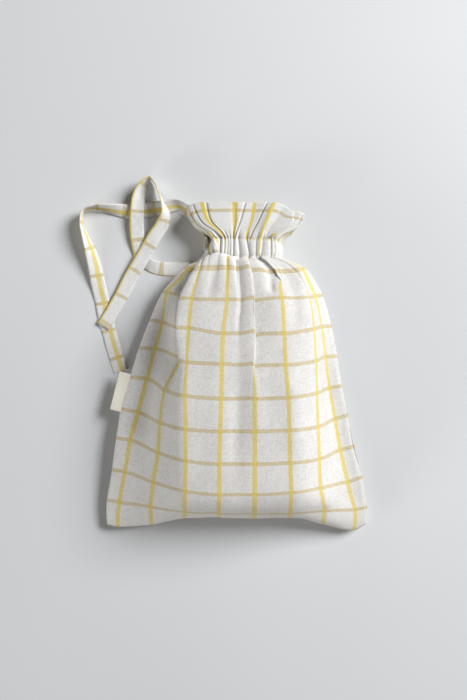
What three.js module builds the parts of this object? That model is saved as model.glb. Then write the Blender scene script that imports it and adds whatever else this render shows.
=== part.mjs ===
// A check cloth bread bag lying on its back, full, with its drawstring pulled tight.
// Two panels are sewn together at the sides and along the bottom. Each runs on above the bag as a
// gathered casing, which the drawstring goes through, and as an open ruffle above it.
// Millimetres: +X across the bag, +Y towards the mouth, +Z up from the table.

import * as THREE from 'three';

const { lerp, smoothstep, degToRad } = THREE.MathUtils;

// Cloth, and the space between layers that lie on each other
const clothThickness = 0.9;
const seamGap = 0.3;

// The bag as it lies
const bagWidth = 287;
const bagLength = 362;
const fillHeight = 70;
const sideSeamHeight = 18;
const bottomSeamHeight = 22;
const cornerSeamHeight = 11;
const cornerDrop = 18;
const cornerRadius = 12;
const endDepth = 30;
const endSlope = 24;
const backEndDepth = 15;
const cornerEndDepth = 20;
const seamOpening = 1.2;

// Shares of the bag's length: where it is spread to its full width, where it is filled to its full
// height, and where the back lies flat
const spreadReach = 0.3;
const fillReach = 0.45;
const fillPower = 2.2;
const settleReach = 0.22;

// Shares of the way from the middle to a side seam: the slope at the bottom end, the corners, the
// rolled seam, and the back where it leaves the table and where it meets the seam
const slopeStart = 0.3;
const slopeFull = 0.6;
const cornerStart = 0.7;
const seamRoll = 0.06;
const backLift = 0.76;
const backSeam = 0.98;

// How the filled top falls to its seams: share of the way down, then where it starts and stops
// falling on the left and on the right, as shares of the way from the middle to the seam
const crownRows = [
  [0, 0.48, 0.95, 0.6, 1],
  [0.15, 0.55, 0.86, 0.66, 1],
  [0.22, 0.56, 0.84, 0.65, 1],
  [0.3, 0.5, 0.78, 0.67, 1],
  [0.4, 0.4, 0.8, 0.59, 0.97],
  [0.5, 0.38, 0.92, 0.52, 0.94],
  [0.8, 0.33, 0.92, 0.46, 0.93],
  [0.9, 0.25, 0.9, 0.38, 0.96],
  [1, 0.2, 0.75, 0.35, 0.8],
];

// The two large creases that the neck draws down the filled top, one near the middle and a deep one
// at the left shoulder: place across the bag, half breadth and depth. They start and end between
// shares of the way down.
const middleCrease = { place: 15, breadth: 7, depth: 4 };
const shoulderCrease = { place: -57, breadth: 9, depth: 8 };
const creaseStart = [0.08, 0.2];
const creaseEnd = [0.28, 0.42];

// The neck, a flat oval that sits to the right of the bag's middle
const neckWidth = 80;
const neckRise = 11;
const neckShift = 9.5;

// Gathers: number across one panel, their depth, and how far they run down the bag
const pleats = 8;
const pleatDepth = 3;
const frontPleatReach = 0.35;
const backPleatReach = 0.12;

// Casing
const casingHeight = 19;
const channelHalf = 1.3;
const casingRipple = 3.2;
const exitShare = 0.1;

// Ruffle
const ruffleHeight = 40;
const ruffleWidth = 134;
const ruffleFootFlare = 1.06;
const rufflePower = 0.85;
const rufflePleatDepth = 4.2;
const ruffleFlatten = 0.8;
const ruffleDroopLeft = 4;
const ruffleDroopRight = 13;

// Drawstring, a flat tape that the gathers squeeze narrower inside the casing
const tieWidth = 16;
const tieThickness = 1.2;
const squeezedTieWidth = 13;
// Each tail leaves the casing straight: how far past the end face its first points lie
const exitLead = [0.36, 1.1, 2.9];

// Side label, a ribbon folded in half with its cut ends in the left seam
const labelLength = 43;
const labelReach = 12.5;
const labelTuck = 7;
const labelThickness = 0.5;
const labelTop = -7;

// Mesh density
const stepsPerPleat = 6;
const columns = pleats * stepsPerPleat;
const downRows = 12;
const endRows = 5;
const ruffleRows = 4;
const upperTieSteps = 36;
const lowerTieSteps = 44;

// Places that follow from the sizes
const headTop = bagLength / 2;
const ruffleFoot = headTop - ruffleHeight;
const casingTop = ruffleFoot - seamGap;
const casingFoot = casingTop - casingHeight;
const panelTop = casingFoot - seamGap;
const cornerLine = -bagLength / 2;

// Each side seam flares fast from the neck and then runs nearly straight down
const outlinePower = { left: 0.38, right: 0.45 };

function outlineX(edge, down) {
  const power = edge < 0 ? outlinePower.left : outlinePower.right;
  const neck = neckShift + (edge * neckWidth) / 2;
  return lerp(neck, (edge * bagWidth) / 2, Math.pow(down, power));
}

// The bottom seam is drawn in where the bag is thick and reaches its full length at the corners
function bottomSeamY(across) {
  const drawnIn = cornerDrop * (1 - smoothstep(Math.abs(across), 0.35, 0.75));
  const intoCorner = Math.max(0, (Math.abs(across) * bagWidth) / 2 - (bagWidth / 2 - cornerRadius));
  const rounding = cornerRadius - Math.sqrt(cornerRadius ** 2 - intoCorner ** 2);
  return cornerLine + drawnIn + rounding;
}

// Height of the seam between the two panels over any spot of the table
function seamHeight(x, y) {
  const towardsBottom = smoothstep(-y, bagLength * 0.25, bagLength * 0.49);
  const towardsSide = smoothstep(Math.abs(x), bagWidth * 0.2, bagWidth * 0.48);
  const atBottom = lerp(bottomSeamHeight, cornerSeamHeight, towardsSide);
  return lerp(sideSeamHeight, atBottom, towardsBottom);
}

// The label holds the two layers apart where it is sewn in
const labelSpread = labelThickness + seamGap;
const labelRamp = 30;

function halfGap(x, y) {
  const above = smoothstep(y, labelTop + labelRamp, labelTop + 2 * labelRamp);
  const labelFoot = labelLength - labelTop;
  const below = smoothstep(-y, labelFoot + labelRamp, labelFoot + 2 * labelRamp);
  const leftEdge = smoothstep(-x, bagWidth * 0.25, bagWidth * 0.33);
  return seamGap / 2 + labelSpread * leftEdge * (1 - above) * (1 - below);
}

// Half of the neck's oval, from the left seam over the flat to the right seam
const neckQuarter = (Math.PI / 2) * neckRise;
const neckStraight = neckWidth - 2 * neckRise;
const neckArcLength = neckStraight + 2 * neckQuarter;

function neckArc(share) {
  const along = share * neckArcLength;
  const fromEnd = Math.min(along, neckArcLength - along);
  const edge = along < neckArcLength / 2 ? -1 : 1;
  if (fromEnd >= neckQuarter) {
    return { x: along - neckArcLength / 2, z: neckRise, nx: 0, nz: 1 };
  }
  const angle = fromEnd / neckRise;
  const nx = edge * Math.cos(angle);
  const nz = Math.sin(angle);
  return { x: (edge * neckStraight) / 2 + neckRise * nx, z: neckRise * nz, nx, nz };
}

// One fold after another across the gathered cloth, dying out at the two side seams
function fold(share) {
  const fade = smoothstep(Math.min(share, 1 - share), 0, 0.08);
  return fade * Math.sin(2 * Math.PI * pleats * share);
}

// How much of the fill is under the cloth at one place, from 1 at the middle to 0 at the seam
function crownShare(across, along) {
  const after = Math.max(1, crownRows.findIndex((row) => row[0] >= along));
  const [above, below] = [crownRows[after - 1], crownRows[after]];
  const part = (along - above[0]) / (below[0] - above[0]);
  const first = across < 0 ? 1 : 3;
  const start = lerp(above[first], below[first], part);
  const stop = lerp(above[first + 1], below[first + 1], part);
  return 1 - smoothstep(Math.abs(across), start, stop);
}

// How far one large crease sinks the filled top at one place
function creaseSink(crease, x, along) {
  const across = Math.exp(-(((x - crease.place) / crease.breadth) ** 2));
  const reach = smoothstep(along, ...creaseStart) * (1 - smoothstep(along, ...creaseEnd));
  return crease.depth * across * reach;
}

// Outer face of a panel. down runs from the casing to the start of the bag's end, turn round the end.
function panelPoint(side, share, down, turn) {
  const front = side > 0;
  const arc = neckArc(share);
  const bodyAcross = -Math.cos(Math.PI * share);
  const nearSide = smoothstep(Math.abs(bodyAcross), cornerStart, 1);
  const frontDepth = endDepth + endSlope * smoothstep(Math.abs(bodyAcross), slopeStart, slopeFull);
  const depth = lerp(front ? frontDepth : backEndDepth, cornerEndDepth, nearSide);
  const seamY = bottomSeamY(bodyAcross);
  const endStart = seamY + depth;
  const roundEnd = endStart - depth * Math.sin((turn * Math.PI) / 2);
  const y = turn > 0 ? roundEnd : lerp(panelTop, endStart, down);
  const along = THREE.MathUtils.clamp((panelTop - y) / (panelTop - seamY), 0, 1);

  const left = outlineX(-1, along);
  const right = outlineX(1, along);
  const spread = smoothstep(along, 0, spreadReach);
  const across = lerp(arc.x / (neckWidth / 2), bodyAcross, spread);
  const x = lerp(left, right, (across + 1) / 2);

  const endFall = Math.cos((turn * Math.PI) / 2);
  const split = seamHeight(x, y);
  const inside = smoothstep(1 - Math.abs(across), 0, seamRoll) * spread;
  const rim = halfGap(x, y) + clothThickness * spread + seamOpening * inside * endFall;
  if (front) {
    const growth = 1 - Math.pow(1 - Math.min(along / fillReach, 1), fillPower);
    const crown = (fillHeight - split - rim) * crownShare(across, along) * endFall;
    const body = crown - creaseSink(middleCrease, x, along) - creaseSink(shoulderCrease, x, along);
    const z = split + rim + lerp(arc.z, body, growth);
    const depthHere = pleatDepth * Math.max(0, 1 - along / frontPleatReach) ** 2;
    const shift = depthHere * fold(share);
    return new THREE.Vector3(x + shift * arc.nx, y, z + shift * arc.nz);
  }
  const settle = smoothstep(along, 0, settleReach);
  const flat = 1 - smoothstep(Math.abs(across), backLift, backSeam);
  const lowered = lerp(arc.z / (split - rim), flat * endFall, settle);
  const z = (split - rim) * (1 - lowered);
  const depthHere = pleatDepth * Math.max(0, 1 - along / backPleatReach) ** 2;
  const shift = depthHere * fold(share);
  return new THREE.Vector3(x + shift * arc.nx, y, Math.max(0, z - shift * arc.nz));
}

// Outer face of a ruffle, which flares from the casing to its free top edge
function rufflePoint(side, share, rise) {
  const arc = neckArc(share);
  const across = arc.x / (neckWidth / 2);
  const flare = lerp(ruffleFootFlare, ruffleWidth / neckWidth, Math.pow(rise, rufflePower));
  const droopLeft = ruffleDroopLeft * smoothstep(-across, 0.6, 1);
  const droop = droopLeft + ruffleDroopRight * smoothstep(across, 0.45, 1);
  const depth = lerp(pleatDepth, rufflePleatDepth, rise) * fold(share);
  const height = seamGap / 2 + arc.z * lerp(1, ruffleFlatten, rise) + depth * arc.nz;
  const x = neckShift + arc.x * flare + depth * arc.nx;
  const y = ruffleFoot + rise * (ruffleHeight - droop);
  return new THREE.Vector3(x, y, seamHeight(x, y) + side * height);
}

// Inner face of the cloth, one thickness in from the outer face and on its own side of the seam.
// Square rows are the cut or stitched edges that face along the bag.
function innerFace(outer, side, squareRows) {
  const rows = outer.length;
  const count = outer[0].length;
  return outer.map((row, i) =>
    row.map((point, j) => {
      const alongRows = outer[Math.min(i + 1, rows - 1)][j].clone().sub(outer[Math.max(i - 1, 0)][j]);
      const alongRow = row[Math.min(j + 1, count - 1)].clone().sub(row[Math.max(j - 1, 0)]);
      const normal = alongRows.cross(alongRow);
      if (squareRows.includes(i)) normal.y = 0;
      const inner = point.clone().addScaledVector(normal.normalize(), -side * clothThickness);
      const limit = seamHeight(inner.x, inner.y) + side * halfGap(inner.x, inner.y);
      inner.z = side > 0 ? Math.max(inner.z, limit) : Math.min(inner.z, limit);
      return inner;
    }),
  );
}

// Closed cloth between two matching grids of points; rows run towards -Y and columns towards +X
function clothBetween(outer, inner, side) {
  const rows = outer.length;
  const count = outer[0].length;
  const offset = rows * count;
  const positions = [...outer.flat(), ...inner.flat()].flatMap((p) => [p.x, p.y, p.z]);
  const index = [];
  const quad = (a, b, c, d) => {
    if (side > 0) index.push(a, b, c, a, c, d);
    else index.push(a, c, b, a, d, c);
  };
  for (let i = 0; i < rows - 1; i += 1) {
    for (let j = 0; j < count - 1; j += 1) {
      const a = i * count + j;
      const b = a + count;
      quad(a, b, b + 1, a + 1);
      quad(a + offset, a + 1 + offset, b + 1 + offset, b + offset);
    }
  }
  for (let j = 0; j < count - 1; j += 1) {
    const last = (rows - 1) * count + j;
    quad(j + 1, j + 1 + offset, j + offset, j);
    quad(last, last + offset, last + 1 + offset, last + 1);
  }
  for (let i = 0; i < rows - 1; i += 1) {
    const a = i * count;
    const b = a + count;
    quad(a, a + offset, b + offset, b);
    quad(b + count - 1, b + count - 1 + offset, a + count - 1 + offset, a + count - 1);
  }
  return indexedGeometry(positions, index);
}

function indexedGeometry(positions, index) {
  const geometry = new THREE.BufferGeometry();
  geometry.setAttribute('position', new THREE.Float32BufferAttribute(positions, 3));
  geometry.setIndex(index);
  geometry.computeVertexNormals();
  return geometry;
}

function evenShares(count) {
  return Array.from({ length: count + 1 }, (_, i) => i / count);
}

function panelGeometry(side) {
  const bodyPlaces = evenShares(downRows).map((share) => [Math.pow(share, 1.7), 0]);
  const endPlaces = evenShares(endRows).slice(1).map((share) => [1, share]);
  const outer = [...bodyPlaces, ...endPlaces].map(([down, turn]) =>
    evenShares(columns).map((share) => panelPoint(side, share, down, turn)),
  );
  return clothBetween(outer, innerFace(outer, side, [0]), side);
}

function ruffleGeometry(side) {
  const outer = evenShares(ruffleRows)
    .reverse()
    .map((rise) => evenShares(columns).map((share) => rufflePoint(side, share, rise)));
  return clothBetween(outer, innerFace(outer, side, [0, ruffleRows]), side);
}

// The casing: two layers that are stitched together along its foot and top, where they fold as one.
// Between the stitch lines the layers part round the drawstring, one folding out and one folding in.
function stitched(up) {
  return 1 - smoothstep(Math.min(up, 1 - up), 0, 0.2);
}

function casingOffset(share, up, layer) {
  const together = stitched(up);
  const own = channelHalf + casingRipple * (0.5 + 0.5 * layer * fold(share));
  return together * pleatDepth * fold(share) + layer * (1 - together) * own;
}

function casingRing(side, share, ups, wall) {
  const arc = neckArc(share);
  const ring = [];
  for (const layer of [1, -1]) {
    const order = layer > 0 ? ups : [...ups].reverse();
    for (const up of order) {
      const offset = casingOffset(share, up, layer) + layer * wall;
      const x = neckShift + arc.x + offset * arc.nx;
      const height = seamGap / 2 + arc.z + offset * arc.nz;
      const y = casingFoot + up * casingHeight;
      ring.push(new THREE.Vector3(x, y, sideSeamHeight + side * Math.max(height, seamGap / 2)));
    }
  }
  return ring;
}

function casingGeometry(side) {
  const shares = evenShares(columns).map((share) => lerp(exitShare, 1, share));
  const skinUps = [0, 0.14, 0.5, 0.86, 1];
  const channelUps = [0.07, 0.16, 0.5, 0.84, 0.93];
  const skins = shares.map((share) => casingRing(side, share, skinUps, clothThickness));
  const channels = shares.map((share) => casingRing(side, share, channelUps, 0));
  const ringSize = skins[0].length;
  const offset = shares.length * ringSize;
  const positions = [...skins.flat(), ...channels.flat()].flatMap((p) => [p.x, p.y, p.z]);
  const index = [];
  const quad = (a, b, c, d) => {
    if (side > 0) index.push(a, b, c, a, c, d);
    else index.push(a, c, b, a, d, c);
  };
  for (let i = 0; i < shares.length - 1; i += 1) {
    for (let k = 0; k < ringSize; k += 1) {
      const next = (k + 1) % ringSize;
      const a = i * ringSize + k;
      const b = i * ringSize + next;
      quad(a, a + ringSize, b + ringSize, b);
      quad(offset + a, offset + b, offset + b + ringSize, offset + a + ringSize);
    }
  }
  const end = (shares.length - 1) * ringSize;
  for (let k = 0; k < ringSize; k += 1) {
    const next = (k + 1) % ringSize;
    quad(k, next, offset + next, offset + k);
    quad(end + next, end + k, offset + end + k, offset + end + next);
  }
  return indexedGeometry(positions, index);
}

// Flat tape with its corners eased, swept along stations that give its centre, width and width direction
const tapeSides = 8;

function tapeSection(width) {
  const halfWidth = width / 2;
  const halfThickness = tieThickness / 2;
  const ease = tieThickness / 3;
  return [
    [-halfWidth, -halfThickness + ease],
    [-halfWidth + ease, -halfThickness],
    [halfWidth - ease, -halfThickness],
    [halfWidth, -halfThickness + ease],
    [halfWidth, halfThickness - ease],
    [halfWidth - ease, halfThickness],
    [-halfWidth + ease, halfThickness],
    [-halfWidth, halfThickness - ease],
  ];
}

function tapeGeometry(stations) {
  const positions = [];
  stations.forEach(({ centre, across, width }, i) => {
    const before = stations[Math.max(i - 1, 0)].centre;
    const after = stations[Math.min(i + 1, stations.length - 1)].centre;
    const tangent = after.clone().sub(before).normalize();
    const widthway = across.clone().addScaledVector(tangent, -across.dot(tangent)).normalize();
    const facing = widthway.clone().cross(tangent);
    for (const [w, t] of tapeSection(width)) {
      const point = centre.clone().addScaledVector(widthway, w).addScaledVector(facing, t);
      positions.push(point.x, point.y, point.z);
    }
  });
  const index = [];
  for (let i = 0; i < stations.length - 1; i += 1) {
    for (let k = 0; k < tapeSides; k += 1) {
      const a = i * tapeSides + k;
      const b = i * tapeSides + ((k + 1) % tapeSides);
      index.push(a, a + tapeSides, b + tapeSides, a, b + tapeSides, b);
    }
  }
  const last = (stations.length - 1) * tapeSides;
  for (let k = 1; k < tapeSides - 1; k += 1) {
    index.push(0, k, k + 1);
    index.push(last, last + k + 1, last + k);
  }
  return indexedGeometry(positions, index);
}

// The stretch that the casing holds: in at the left, round the right seam and back
function squeezedDrawstring() {
  const middleY = casingFoot + casingHeight / 2;
  const stations = [];
  const place = (side, share) => {
    const arc = neckArc(share);
    const z = sideSeamHeight + side * (seamGap / 2 + arc.z);
    const centre = new THREE.Vector3(neckShift + arc.x, middleY, z);
    stations.push({ centre, across: new THREE.Vector3(0, 1, 0), width: squeezedTieWidth });
  };
  const shares = evenShares(columns / 2).map((share) => lerp(exitShare, 1, share));
  shares.forEach((share) => place(1, share));
  shares.reverse().forEach((share) => place(-1, share));
  return tapeGeometry(stations);
}

// A place on the drawstring's way out of the casing at the left seam, past the end face
function exitPoint(side, past) {
  const arc = neckArc(exitShare);
  const outward = new THREE.Vector3(-arc.nz, 0, side * arc.nx);
  const z = sideSeamHeight + side * (seamGap / 2 + arc.z);
  const end = new THREE.Vector3(neckShift + arc.x, casingFoot + casingHeight / 2, z);
  return end.addScaledVector(outward, past);
}

// Routes of the two tails: x, y, z, then where the right-hand edge points in plan and how far it is
// lifted, both in degrees
const upperTieRoute = [
  [-33, 134, 19, 60, -25],
  [-36, 140, 12, 20, -50],
  [-38.5, 148, 7.2, 5, -40],
  [-40, 157, 2.8, 5, -12],
  [-44, 166, 1.2, 30, 0],
  [-52, 174, 2.4, 62, 10],
  [-65, 178, 4.6, 88, 28],
  [-83, 175, 3.9, 100, 22],
  [-101, 172, 4.4, 95, 26],
  [-121, 171, 5.6, 85, 36],
  [-143, 175, 7.8, 82, 60],
  [-160, 178, 8.6, 90, 78],
  [-170, 174, 8.9, 125, 88],
  [-172, 162, 8.8, 175, 85],
  [-167, 144, 8.1, 192, 65],
  [-162, 129, 6.2, 195, 42],
  [-158, 113, 4.1, 194, 24],
  [-155, 96, 2, 192, 8],
  [-151, 78, 0.9, 192, 0],
  [-147, 58, 0.9, 193, 0],
  [-141, 35, 0.9, 196, 0],
  [-135, 14, 0.9, 196, 0],
  [-129, -4, 0.9, 196, 0],
];
const lowerTieRoute = [
  [-33, 129.5, 8.5, 95, 0],
  [-38.5, 126, 3, 115, 0],
  [-44, 119.5, 1, 122, 0],
  [-51, 114.5, 1, 108, 0],
  [-60, 111.5, 1, 95, 0],
  [-70, 111, 1.6, 88, 4],
  [-84, 113.5, 3.4, 78, 18],
  [-96, 118, 3.6, 62, 18],
  [-105, 127, 2.6, 35, 8],
  [-109.5, 139, 5.5, 12, 0],
  [-111, 153, 10.5, 2, 0],
  [-111, 168, 13, -1, -4],
  [-110, 181, 13.5, -6, -14],
  [-107.5, 195, 12.5, -20, -38],
  [-103, 204, 11.5, -45, -62],
  [-97, 208, 11, -90, -80],
  [-90.5, 205.5, 12, -140, -88],
  [-86, 196, 14.5, -165, -92],
  [-82, 184, 16.8, -165, -98],
  [-78.5, 172, 15.5, -185, -122],
  [-82, 159, 11.5, -205, -158],
  [-92, 144, 8, -213, -178],
  [-101, 129, 5.6, -210, -180],
  [-110, 114, 4.4, -210, -180],
  [-119, 99, 3.4, -210, -180],
  [-128, 81, 2.8, -209, -180],
  [-139, 62, 2.7, -210, -180],
  [-149, 46, 2.7, -212, -180],
];

function looseTie(side, route, steps) {
  const leaving = exitLead.map((past) => [...exitPoint(side, past), 90, 0]);
  const full = [...leaving, ...route];
  const spans = full.length - 1;
  const curve = new THREE.CatmullRomCurve3(full.map(([x, y, z]) => new THREE.Vector3(x, y, z)));
  const stations = evenShares(steps).map((share) => {
    const place = share * spans;
    const before = Math.min(Math.floor(place), spans - 1);
    const part = place - before;
    const heading = degToRad(lerp(full[before][3], full[before + 1][3], part));
    const lift = degToRad(lerp(full[before][4], full[before + 1][4], part));
    const flat = Math.cos(lift);
    const across = new THREE.Vector3(Math.cos(heading) * flat, Math.sin(heading) * flat, Math.sin(lift));
    const width = lerp(squeezedTieWidth, tieWidth, smoothstep(place, 1, 5));
    return { centre: curve.getPoint(share), across, width };
  });
  return tapeGeometry(stations);
}

// The label: a ribbon bent back on itself, its fold outside and its two ends between the panels
function labelGeometry() {
  const fall = 1.5 * labelThickness;
  const bend = new THREE.Shape();
  bend.moveTo(-labelTuck, fall);
  bend.lineTo(labelReach - fall, fall);
  bend.absarc(labelReach - fall, 0, fall, Math.PI / 2, -Math.PI / 2, true);
  bend.lineTo(-labelTuck, -fall);
  bend.lineTo(-labelTuck, labelThickness - fall);
  bend.lineTo(labelReach - fall, labelThickness - fall);
  bend.absarc(labelReach - fall, 0, fall - labelThickness, -Math.PI / 2, Math.PI / 2, false);
  bend.lineTo(-labelTuck, fall - labelThickness);
  bend.closePath();
  const along = { depth: labelLength, bevelEnabled: false, curveSegments: 6, steps: 1 };
  return new THREE.ExtrudeGeometry(bend, along);
}

// Left seam at a given place along the bag
function leftSeamX(y) {
  const down = (panelTop - y) / (panelTop - bottomSeamY(-1));
  return outlineX(-1, down);
}

const clothLook = { roughness: 0.95, metalness: 0 };
const checkCloth = () => new THREE.MeshStandardMaterial({ color: 0xdcd6ca, ...clothLook });
const tieCloth = () => new THREE.MeshStandardMaterial({ color: 0xe0dbcf, ...clothLook });
const labelCloth = () => new THREE.MeshStandardMaterial({ color: 0xefe9da, roughness: 0.85, metalness: 0 });

const group = new THREE.Group();

function addPiece(name, geometry, material) {
  const mesh = new THREE.Mesh(geometry, material);
  mesh.name = name;
  group.add(mesh);
  return mesh;
}

addPiece('front_panel', panelGeometry(1), checkCloth());
addPiece('back_panel', panelGeometry(-1), checkCloth());
addPiece('front_casing', casingGeometry(1), checkCloth());
addPiece('back_casing', casingGeometry(-1), checkCloth());
addPiece('front_ruffle', ruffleGeometry(1), checkCloth());
addPiece('back_ruffle', ruffleGeometry(-1), checkCloth());
addPiece('drawstring_in_casing', squeezedDrawstring(), tieCloth());
addPiece('tie_upper', looseTie(1, upperTieRoute, upperTieSteps), tieCloth());
addPiece('tie_lower', looseTie(-1, lowerTieRoute, lowerTieSteps), tieCloth());

// The label stands square to the seam, with its length along it
const label = addPiece('side_label', labelGeometry(), labelCloth());
const labelStart = new THREE.Vector2(leftSeamX(labelTop), labelTop);
const labelEnd = new THREE.Vector2(leftSeamX(labelTop - labelLength), labelTop - labelLength);
const seamWay = labelEnd.clone().sub(labelStart).normalize();
const outward = new THREE.Vector3(seamWay.y, -seamWay.x, 0);
const along = new THREE.Vector3(seamWay.x, seamWay.y, 0);
const up = new THREE.Vector3().crossVectors(along, outward);
label.setRotationFromMatrix(new THREE.Matrix4().makeBasis(outward, up, along));
label.position.set(labelStart.x, labelStart.y, sideSeamHeight);

export default group;
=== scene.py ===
import math

import bpy
import numpy as np
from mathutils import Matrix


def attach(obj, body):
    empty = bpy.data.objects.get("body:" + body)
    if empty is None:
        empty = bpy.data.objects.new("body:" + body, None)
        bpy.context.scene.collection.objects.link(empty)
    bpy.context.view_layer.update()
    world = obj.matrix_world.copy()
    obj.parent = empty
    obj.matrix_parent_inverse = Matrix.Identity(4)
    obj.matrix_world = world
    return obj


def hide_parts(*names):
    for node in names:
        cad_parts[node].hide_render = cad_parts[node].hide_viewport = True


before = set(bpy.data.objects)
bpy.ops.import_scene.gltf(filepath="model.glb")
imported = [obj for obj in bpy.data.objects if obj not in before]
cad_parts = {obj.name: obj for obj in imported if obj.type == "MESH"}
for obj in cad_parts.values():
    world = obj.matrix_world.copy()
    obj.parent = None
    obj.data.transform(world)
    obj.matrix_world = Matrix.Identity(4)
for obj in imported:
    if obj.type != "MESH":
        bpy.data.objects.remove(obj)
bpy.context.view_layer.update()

# Camera
# One metre above the table and looking straight down, with the bag's mouth at the top of the
# picture. The filled bag rises towards the lens, so its highest cloth looks a little larger.
camera = bpy.data.objects.new("camera", bpy.data.cameras.new("camera"))
camera.data.sensor_width = 36.0
camera.data.lens = 45.88
camera.location = (-0.0031, 0.0196, 1.0)
bpy.context.scene.collection.objects.link(camera)
bpy.context.scene.camera = camera

# Drawstring tails
# The two loose ends of one flat tape, cut along the check, folded and stitched. They leave the
# casing beside the left seam, one above it and one below, cross each other and lie limp.
MM = 0.001
tape_width = 16.0
squeezed_width = 13.0
tape_thickness = 1.2
mark_spacing = 34.5

# The gathered neck is a flat oval, and the tape lies half way between the casing's two stitch
# lines. The tails leave it near its left end, one above the seam and one below, at this share of
# the way round to the right seam.
neck_middle, neck_width, neck_rise, seam_height = 9.5, 80.0, 11.0, 18.0
casing_middle = (121.7 + 140.7) / 2
leaves_at = 0.14
seam_gap = 0.15


def neck_arc(share):
    """Place and outward direction on the upper half of the oval, from the left seam to the right."""
    quarter = math.pi / 2 * neck_rise
    length = neck_width - 2 * neck_rise + 2 * quarter
    along = share * length
    from_end = min(along, length - along)
    edge = -1 if along < length / 2 else 1
    if from_end >= quarter:
        return along - length / 2, neck_rise, 0.0, 1.0
    angle = from_end / neck_rise
    out, up = edge * math.cos(angle), math.sin(angle)
    return edge * (neck_width / 2 - neck_rise) + neck_rise * out, neck_rise * up, out, up


def leaving_casing(side, past):
    """A place on the drawstring past the end of the casing, above (1) or below (-1) the seam."""
    x, z, out, up = neck_arc(leaves_at)
    height = seam_height + side * (seam_gap + z)
    return [neck_middle + x - up * past, casing_middle, height + side * out * past, 90, 0]


# Routes in millimetres and degrees: place, where the right-hand edge points in plan, and how far
# that edge is turned up
upper_route = [leaving_casing(1, past) for past in (0.36, 1.1, 2.9)] + [
    [-30, 133.5, 17.5, 60, -75], [-31, 141, 11, 30, -80], [-34, 149, 7.8, 8, -60],
    [-38, 157, 4.4, 5, -25], [-44, 166, 3.6, 30, 15], [-52, 174, 6.6, 62, 50],
    [-65, 181, 6.2, 88, 42], [-83, 178.5, 3.4, 96, 14], [-101, 176, 2.4, 93, 8],
    [-121, 174.5, 3.2, 86, 16], [-143, 177, 7.2, 83, 56], [-160, 178, 8.6, 90, 78],
    [-170, 174, 8.9, 125, 88], [-172, 162, 8.8, 175, 85], [-167, 144, 8.1, 192, 65],
    [-162, 129, 6.2, 195, 42], [-158, 113, 4.1, 194, 24], [-155, 96, 2, 192, 8],
    [-151, 78, 0.9, 192, 0], [-147, 58, 0.9, 193, 0], [-141, 35, 0.9, 196, 0],
    [-135, 14, 0.9, 196, 0], [-129, -4, 0.9, 196, 0],
]
lower_route = [leaving_casing(-1, past) for past in (0.36, 1.1, 2.9)] + [
    [-30.5, 126, 7.5, 105, -20], [-34, 119, 3, 130, 0], [-41, 112.5, 1, 125, 0],
    [-51, 110.8, 1, 100, 0], [-60, 110.3, 1, 92, 0], [-70, 110.3, 1.6, 90, 4],
    [-84, 110.8, 3.2, 84, 18], [-96, 114, 3.6, 66, 26], [-105, 123, 2.6, 38, 10],
    [-109.5, 139, 3.6, 12, 0], [-111, 153, 5.4, 2, 0], [-111, 168, 6.8, -1, -4],
    [-110, 181, 7.2, -6, -16], [-107.5, 195, 7.8, -20, -40], [-102.5, 204, 9.3, -38, -62],
    [-98, 209.2, 9, -60, -80], [-95.8, 210.6, 8.9, -90, -84], [-93.8, 209, 9.1, -122, -86],
    [-89.5, 202.5, 10.4, -150, -90], [-85.8, 194, 12.4, -165, -92],
    [-82, 184, 13.6, -165, -98], [-78.5, 172, 13.2, -185, -122], [-82, 159, 9.6, -205, -158],
    [-92, 144, 8, -213, -178], [-101, 129, 5.6, -210, -180], [-110, 114, 4.4, -210, -180],
    [-119, 99, 3.4, -210, -180], [-128, 81, 2.8, -209, -180], [-139, 62, 2.7, -210, -180],
    [-149, 46, 2.7, -212, -180],
]


def on_route(points, share):
    """Place on the smooth curve through the points, drawn as the CAD part draws it."""
    spans = len(points) - 1
    i = min(int(share * spans), spans - 1)
    part = share * spans - i
    p1, p2 = points[i], points[i + 1]
    p0 = points[i - 1] if i > 0 else 2 * p1 - p2
    p3 = points[i + 2] if i + 2 <= spans else 2 * p2 - p1
    pairs = ((p0, p1), (p1, p2), (p2, p3))
    d0, d1, d2 = (max(math.sqrt(np.linalg.norm(b - a)), 1e-6) for a, b in pairs)
    t1 = ((p1 - p0) / d0 - (p2 - p0) / (d0 + d1) + (p2 - p1) / d1) * d1
    t2 = ((p2 - p1) / d1 - (p3 - p1) / (d1 + d2) + (p3 - p2) / d2) * d1
    c2 = 3 * (p2 - p1) - 2 * t1 - t2
    c3 = 2 * (p1 - p2) + t1 + t2
    return p1 + part * (t1 + part * (c2 + part * c3))


def smooth(value, low, high):
    """From 0 at low to 1 at high, easing in and out."""
    part = np.clip((value - low) / (high - low), 0, 1)
    return part * part * (3 - 2 * part)


def grid_mesh(name, points, cloth, closed_across=False, capped=False):
    """A mesh from rows of places in millimetres. cloth gives each place's spot on the flat cloth."""
    rows, count = points.shape[:2]
    across = count if closed_across else count - 1
    faces = []
    for i in range(rows - 1):
        for j in range(across):
            a, b = i * count + j, i * count + (j + 1) % count
            faces.append((a, b, b + count, a + count))
    if capped:
        faces.append(tuple(reversed(range(count))))
        faces.append(tuple(range((rows - 1) * count, rows * count)))
    mesh = bpy.data.meshes.new(name)
    mesh.from_pydata((points.reshape(-1, 3) * MM).tolist(), [], faces)
    layer = mesh.uv_layers.new(name="cloth")
    flat = cloth.reshape(-1, 2) * MM
    corners = np.empty(len(mesh.loops), dtype=np.int64)
    mesh.loops.foreach_get("vertex_index", corners)
    layer.data.foreach_set("uv", flat[corners].astype(np.float32).ravel())
    for polygon in mesh.polygons:
        polygon.use_smooth = True
    piece = bpy.data.objects.new(name, mesh)
    bpy.context.scene.collection.objects.link(piece)
    return piece


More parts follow.
